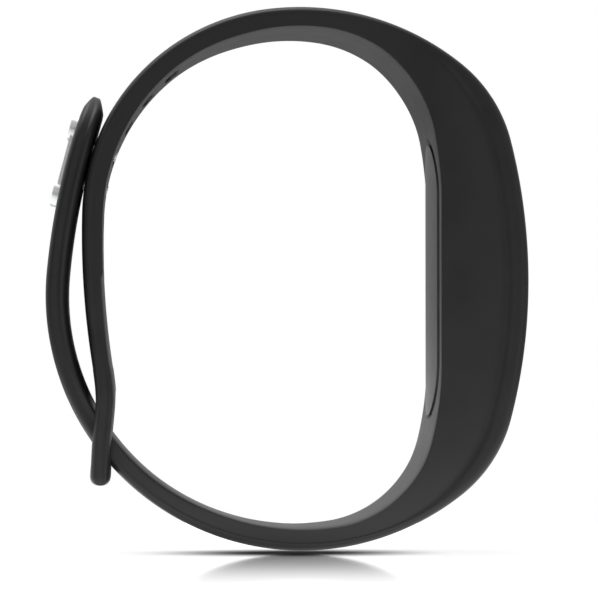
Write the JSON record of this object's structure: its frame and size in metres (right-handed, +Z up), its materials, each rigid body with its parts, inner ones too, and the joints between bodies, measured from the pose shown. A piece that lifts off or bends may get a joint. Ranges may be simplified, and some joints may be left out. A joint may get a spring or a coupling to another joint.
{
  "type": "fitness tracker band",
  "caption": "Closed black silicone wristband with a removable tracker module, a peg clasp, a keeper loop, and a display with a key below it.",
  "frame": {"origin": "centre of the wrist opening, midway across the band's width", "axes": "+X towards the housing and its display, +Y across the band along the wrist, +Z up the long side of the opening"},
  "size_m": [0.0608, 0.02, 0.0686],
  "materials": {
    "silicone": "soft matte moulded silicone",
    "clasp_steel": "polished stainless steel",
    "case_plastic": "fine textured",
    "lens": "hard coated gloss",
    "adhesive": "foam tape",
    "display": "reflective display glass",
    "white_plastic": "satin",
    "light_guide": "frosted clear",
    "flex": "polyimide film",
    "key_plastic": "satin",
    "seal_rubber": "smooth",
    "spring_steel": "stamped sheet",
    "board": "solder mask",
    "chip_plastic": "moulded",
    "contact_metal": "gold plated",
    "cell_steel": "nickel plated",
    "cover_plastic": "fine textured",
    "screw_steel": "plain"
  },
  "bodies": {
    "band": {"silicone_band": "silicone"},
    "tail": {"strap_tail": "silicone", "clasp_plate": "clasp_steel", "clasp_pegs": "clasp_steel"},
    "module": {"module_front_case": "case_plastic", "display_lens": "lens", "lens_adhesive": "adhesive", "display_panel": "display", "display_frame": "white_plastic", "light_guide": "light_guide", "display_flex": "flex", "key_seal": "seal_rubber", "dome_switch": "spring_steel", "main_board": "board", "shield_can": "spring_steel", "board_components": "chip_plastic", "antenna": "contact_metal", "contact_positive": "contact_metal", "contact_negative": "contact_metal", "contact_link": "contact_metal", "battery_tray": "white_plastic", "battery_upper": "cell_steel", "battery_lower": "cell_steel", "rear_cover_seal": "seal_rubber", "rear_cover": "cover_plastic", "rear_cover_screws": "screw_steel"},
    "key": {"device_key": "key_plastic"}
  },
  "joints": [
    {"name": "tail_peel", "type": "hinge", "parent": "band", "child": "tail", "pos_m": [-0.027, 0, -0.0023], "axis": [0, -1, 0], "range_deg": [0, 60]},
    {"name": "module_release", "type": "slide", "parent": "band", "child": "module", "axis": [-1, 0, 0], "range_m": [0, 0.013]},
    {"name": "key_press", "type": "slide", "parent": "module", "child": "key", "axis": [-1, 0, 0], "range_m": [0, 0.00035], "stiffness_N_per_m": 1500}
  ]
}
